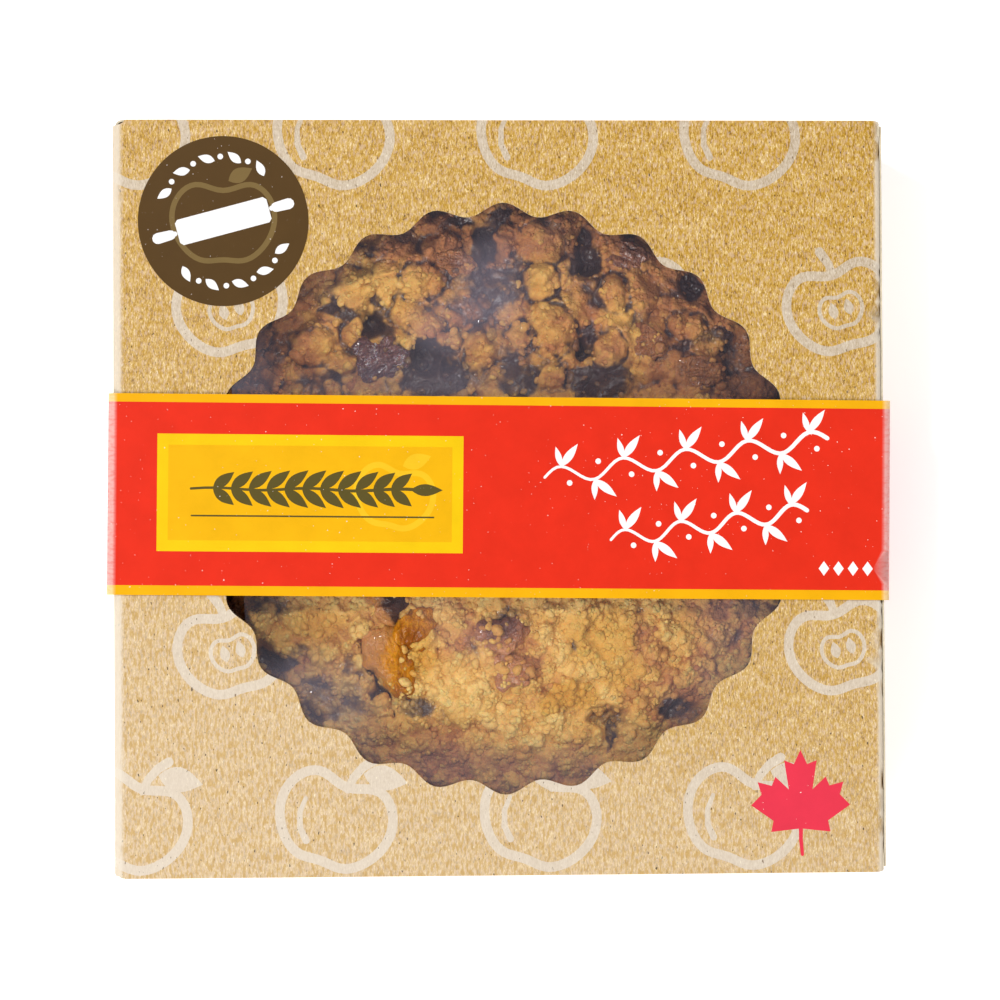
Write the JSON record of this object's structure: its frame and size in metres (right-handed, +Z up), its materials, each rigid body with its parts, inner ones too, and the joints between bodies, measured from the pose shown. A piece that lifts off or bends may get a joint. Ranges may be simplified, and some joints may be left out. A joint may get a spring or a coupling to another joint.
{
  "type": "boxed apple pie",
  "caption": "Shut square board box with a scalloped film window, a paper sleeve and a round label, holding a crumble-topped apple pie in a foil tin.",
  "frame": {"origin": "middle of the underside of the paper sleeve, on the surface the box stands on", "axes": "+Z up through the window; +Y to the back edge of the lid, where the print's top is; +X to the lid's right edge"},
  "size_m": [0.2354, 0.226, 0.0654],
  "materials": {
    "board": "matt speckled board, printed in cream",
    "film": "clear gloss film",
    "sleeve_paper": "coated paper, red with yellow edges and a yellow panel",
    "label_paper": "coated paper, brown",
    "foil": "bright pressed foil",
    "pastry": "baked pastry",
    "filling": "dark glossy syrup",
    "crumble": "baked crumbs",
    "glazed_apple": "glazed, glossy"
  },
  "bodies": {
    "root": {"carton": "board", "window_film": "film", "sleeve": "sleeve_paper", "round_label": "label_paper", "pie_tin": "foil", "pastry_shell": "pastry", "apple_filling": "filling", "crumble_topping": "crumble", "apple_piece_1": "glazed_apple", "apple_piece_2": "glazed_apple", "apple_piece_3": "glazed_apple", "apple_piece_4": "glazed_apple", "apple_piece_5": "glazed_apple", "apple_piece_6": "glazed_apple", "apple_piece_7": "glazed_apple", "apple_piece_8": "glazed_apple", "apple_piece_9": "glazed_apple", "apple_piece_10": "glazed_apple"}
  },
  "joints": []
}
